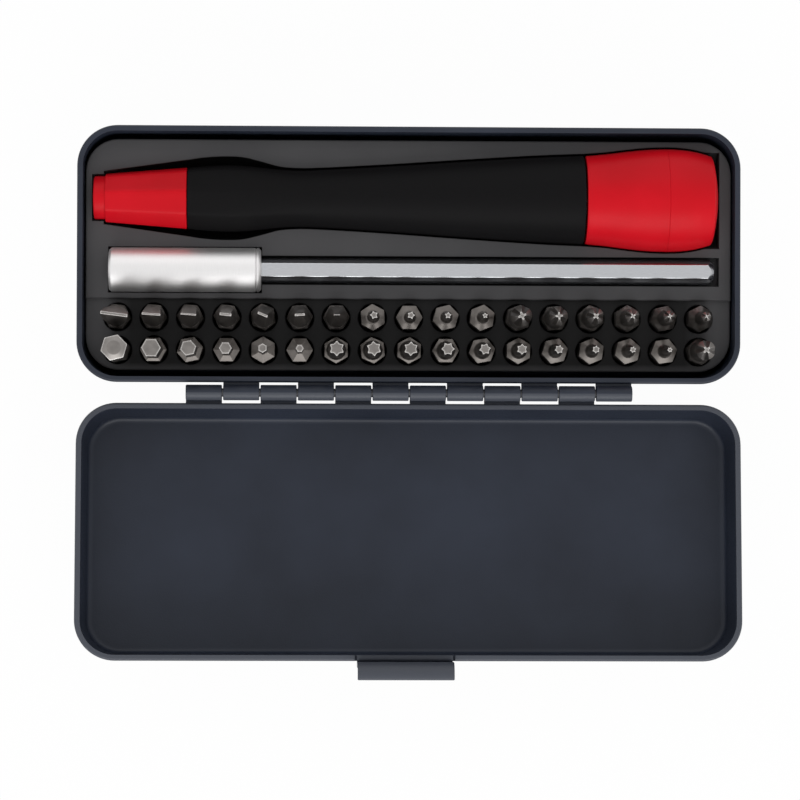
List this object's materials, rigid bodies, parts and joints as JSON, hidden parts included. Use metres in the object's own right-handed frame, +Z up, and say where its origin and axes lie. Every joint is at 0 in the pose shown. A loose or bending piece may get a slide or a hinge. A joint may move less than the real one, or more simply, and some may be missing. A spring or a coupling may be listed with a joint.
{
  "type": "precision screwdriver set",
  "caption": "Hinged sheet metal case, open, with a moulded tray that holds a slim driver handle with a turning end cap, a bit holder and two rows of driver bits.",
  "frame": {"origin": "centre of the base's underside", "axes": "+X along the case towards the handle's end cap, +Y away from the hinge, +Z up"},
  "size_m": [0.1146, 0.0947, 0.0326],
  "materials": {
    "case_paint": "fine matt powder coat, dark blue-grey",
    "pin_steel": "plain steel wire",
    "tray_plastic": "moulded, dark grey",
    "handle_red": "semi-gloss moulded red",
    "grip_rubber": "soft-touch black",
    "socket_steel": "bright turned steel",
    "magnet": "nickel-plated magnet",
    "bush_plastic": "natural acetal",
    "sleeve_aluminium": "satin",
    "shank_steel": "bright drawn hexagon bar",
    "bit_steel": "gunmetal-brown, brighter at the ground tips"
  },
  "bodies": {
    "case": {"base_shell": "case_paint", "bit_tray": "tray_plastic", "hinge_pin": "pin_steel"},
    "lid": {"lid_shell": "case_paint"},
    "handle": {"handle_core": "handle_red", "grip_sleeve": "grip_rubber", "bit_socket": "socket_steel", "socket_magnet": "magnet", "cap_snap_ring": "socket_steel"},
    "end_cap": {"cap_barrel": "handle_red", "cap_end": "handle_red", "cap_bush": "bush_plastic"},
    "holder": {"holder_sleeve": "sleeve_aluminium", "holder_shank": "shank_steel", "holder_magnet": "magnet"},
    "slotted_bit_1_body": {"slotted_bit_1": "bit_steel"},
    "slotted_bit_2_body": {"slotted_bit_2": "bit_steel"},
    "slotted_bit_3_body": {"slotted_bit_3": "bit_steel"},
    "slotted_bit_4_body": {"slotted_bit_4": "bit_steel"},
    "slotted_bit_5_body": {"slotted_bit_5": "bit_steel"},
    "slotted_bit_6_body": {"slotted_bit_6": "bit_steel"},
    "slotted_bit_7_body": {"slotted_bit_7": "bit_steel"},
    "pentalobe_bit_1_body": {"pentalobe_bit_1": "bit_steel"},
    "pentalobe_bit_2_body": {"pentalobe_bit_2": "bit_steel"},
    "pentalobe_bit_3_body": {"pentalobe_bit_3": "bit_steel"},
    "pentalobe_bit_4_body": {"pentalobe_bit_4": "bit_steel"},
    "cross_bit_1_body": {"cross_bit_1": "bit_steel"},
    "cross_bit_2_body": {"cross_bit_2": "bit_steel"},
    "cross_bit_3_body": {"cross_bit_3": "bit_steel"},
    "cross_bit_4_body": {"cross_bit_4": "bit_steel"},
    "cross_bit_5_body": {"cross_bit_5": "bit_steel"},
    "cross_bit_6_body": {"cross_bit_6": "bit_steel"},
    "hex_bit_1_body": {"hex_bit_1": "bit_steel"},
    "hex_bit_2_body": {"hex_bit_2": "bit_steel"},
    "hex_bit_3_body": {"hex_bit_3": "bit_steel"},
    "hex_bit_4_body": {"hex_bit_4": "bit_steel"},
    "hex_bit_5_body": {"hex_bit_5": "bit_steel"},
    "hex_bit_6_body": {"hex_bit_6": "bit_steel"},
    "sixlobe_bit_1_body": {"sixlobe_bit_1": "bit_steel"},
    "sixlobe_bit_2_body": {"sixlobe_bit_2": "bit_steel"},
    "sixlobe_bit_3_body": {"sixlobe_bit_3": "bit_steel"},
    "sixlobe_bit_4_body": {"sixlobe_bit_4": "bit_steel"},
    "sixlobe_bit_5_body": {"sixlobe_bit_5": "bit_steel"},
    "sixlobe_bit_6_body": {"sixlobe_bit_6": "bit_steel"},
    "sixlobe_bit_7_body": {"sixlobe_bit_7": "bit_steel"},
    "sixlobe_bit_8_body": {"sixlobe_bit_8": "bit_steel"},
    "sixlobe_bit_9_body": {"sixlobe_bit_9": "bit_steel"},
    "sixlobe_bit_10_body": {"sixlobe_bit_10": "bit_steel"},
    "large_cross_bit_1_body": {"large_cross_bit_1": "bit_steel"}
  },
  "joints": [
    {"name": "lid_hinge", "type": "hinge", "parent": "case", "child": "lid", "pos_m": [0, -0.0239, 0.02165], "axis": [1, 0, 0], "range_deg": [-175, 0]},
    {"name": "cap_spin", "type": "hinge", "parent": "handle", "child": "end_cap", "pos_m": [0.0427, 0.0098, 0.0178], "axis": [1, 0, 0], "continuous": true},
    {"name": "handle_lift", "type": "slide", "parent": "case", "child": "handle", "axis": [0, 0, 1], "range_m": [0, 0.02]},
    {"name": "holder_lift", "type": "slide", "parent": "case", "child": "holder", "axis": [0, 0, 1], "range_m": [0, 0.015]},
    {"name": "slotted_bit_1_lift", "type": "slide", "parent": "case", "child": "slotted_bit_1_body", "axis": [0, 0, 1], "range_m": [0, 0.018]},
    {"name": "slotted_bit_2_lift", "type": "slide", "parent": "case", "child": "slotted_bit_2_body", "axis": [0, 0, 1], "range_m": [0, 0.018]},
    {"name": "slotted_bit_3_lift", "type": "slide", "parent": "case", "child": "slotted_bit_3_body", "axis": [0, 0, 1], "range_m": [0, 0.018]},
    {"name": "slotted_bit_4_lift", "type": "slide", "parent": "case", "child": "slotted_bit_4_body", "axis": [0, 0, 1], "range_m": [0, 0.018]},
    {"name": "slotted_bit_5_lift", "type": "slide", "parent": "case", "child": "slotted_bit_5_body", "axis": [0, 0, 1], "range_m": [0, 0.018]},
    {"name": "slotted_bit_6_lift", "type": "slide", "parent": "case", "child": "slotted_bit_6_body", "axis": [0, 0, 1], "range_m": [0, 0.018]},
    {"name": "slotted_bit_7_lift", "type": "slide", "parent": "case", "child": "slotted_bit_7_body", "axis": [0, 0, 1], "range_m": [0, 0.018]},
    {"name": "pentalobe_bit_1_lift", "type": "slide", "parent": "case", "child": "pentalobe_bit_1_body", "axis": [0, 0, 1], "range_m": [0, 0.018]},
    {"name": "pentalobe_bit_2_lift", "type": "slide", "parent": "case", "child": "pentalobe_bit_2_body", "axis": [0, 0, 1], "range_m": [0, 0.018]},
    {"name": "pentalobe_bit_3_lift", "type": "slide", "parent": "case", "child": "pentalobe_bit_3_body", "axis": [0, 0, 1], "range_m": [0, 0.018]},
    {"name": "pentalobe_bit_4_lift", "type": "slide", "parent": "case", "child": "pentalobe_bit_4_body", "axis": [0, 0, 1], "range_m": [0, 0.018]},
    {"name": "cross_bit_1_lift", "type": "slide", "parent": "case", "child": "cross_bit_1_body", "axis": [0, 0, 1], "range_m": [0, 0.018]},
    {"name": "cross_bit_2_lift", "type": "slide", "parent": "case", "child": "cross_bit_2_body", "axis": [0, 0, 1], "range_m": [0, 0.018]},
    {"name": "cross_bit_3_lift", "type": "slide", "parent": "case", "child": "cross_bit_3_body", "axis": [0, 0, 1], "range_m": [0, 0.018]},
    {"name": "cross_bit_4_lift", "type": "slide", "parent": "case", "child": "cross_bit_4_body", "axis": [0, 0, 1], "range_m": [0, 0.018]},
    {"name": "cross_bit_5_lift", "type": "slide", "parent": "case", "child": "cross_bit_5_body", "axis": [0, 0, 1], "range_m": [0, 0.018]},
    {"name": "cross_bit_6_lift", "type": "slide", "parent": "case", "child": "cross_bit_6_body", "axis": [0, 0, 1], "range_m": [0, 0.018]},
    {"name": "hex_bit_1_lift", "type": "slide", "parent": "case", "child": "hex_bit_1_body", "axis": [0, 0, 1], "range_m": [0, 0.018]},
    {"name": "hex_bit_2_lift", "type": "slide", "parent": "case", "child": "hex_bit_2_body", "axis": [0, 0, 1], "range_m": [0, 0.018]},
    {"name": "hex_bit_3_lift", "type": "slide", "parent": "case", "child": "hex_bit_3_body", "axis": [0, 0, 1], "range_m": [0, 0.018]},
    {"name": "hex_bit_4_lift", "type": "slide", "parent": "case", "child": "hex_bit_4_body", "axis": [0, 0, 1], "range_m": [0, 0.018]},
    {"name": "hex_bit_5_lift", "type": "slide", "parent": "case", "child": "hex_bit_5_body", "axis": [0, 0, 1], "range_m": [0, 0.018]},
    {"name": "hex_bit_6_lift", "type": "slide", "parent": "case", "child": "hex_bit_6_body", "axis": [0, 0, 1], "range_m": [0, 0.018]},
    {"name": "sixlobe_bit_1_lift", "type": "slide", "parent": "case", "child": "sixlobe_bit_1_body", "axis": [0, 0, 1], "range_m": [0, 0.018]},
    {"name": "sixlobe_bit_2_lift", "type": "slide", "parent": "case", "child": "sixlobe_bit_2_body", "axis": [0, 0, 1], "range_m": [0, 0.018]},
    {"name": "sixlobe_bit_3_lift", "type": "slide", "parent": "case", "child": "sixlobe_bit_3_body", "axis": [0, 0, 1], "range_m": [0, 0.018]},
    {"name": "sixlobe_bit_4_lift", "type": "slide", "parent": "case", "child": "sixlobe_bit_4_body", "axis": [0, 0, 1], "range_m": [0, 0.018]},
    {"name": "sixlobe_bit_5_lift", "type": "slide", "parent": "case", "child": "sixlobe_bit_5_body", "axis": [0, 0, 1], "range_m": [0, 0.018]},
    {"name": "sixlobe_bit_6_lift", "type": "slide", "parent": "case", "child": "sixlobe_bit_6_body", "axis": [0, 0, 1], "range_m": [0, 0.018]},
    {"name": "sixlobe_bit_7_lift", "type": "slide", "parent": "case", "child": "sixlobe_bit_7_body", "axis": [0, 0, 1], "range_m": [0, 0.018]},
    {"name": "sixlobe_bit_8_lift", "type": "slide", "parent": "case", "child": "sixlobe_bit_8_body", "axis": [0, 0, 1], "range_m": [0, 0.018]},
    {"name": "sixlobe_bit_9_lift", "type": "slide", "parent": "case", "child": "sixlobe_bit_9_body", "axis": [0, 0, 1], "range_m": [0, 0.018]},
    {"name": "sixlobe_bit_10_lift", "type": "slide", "parent": "case", "child": "sixlobe_bit_10_body", "axis": [0, 0, 1], "range_m": [0, 0.018]},
    {"name": "large_cross_bit_1_lift", "type": "slide", "parent": "case", "child": "large_cross_bit_1_body", "axis": [0, 0, 1], "range_m": [0, 0.018]}
  ]
}
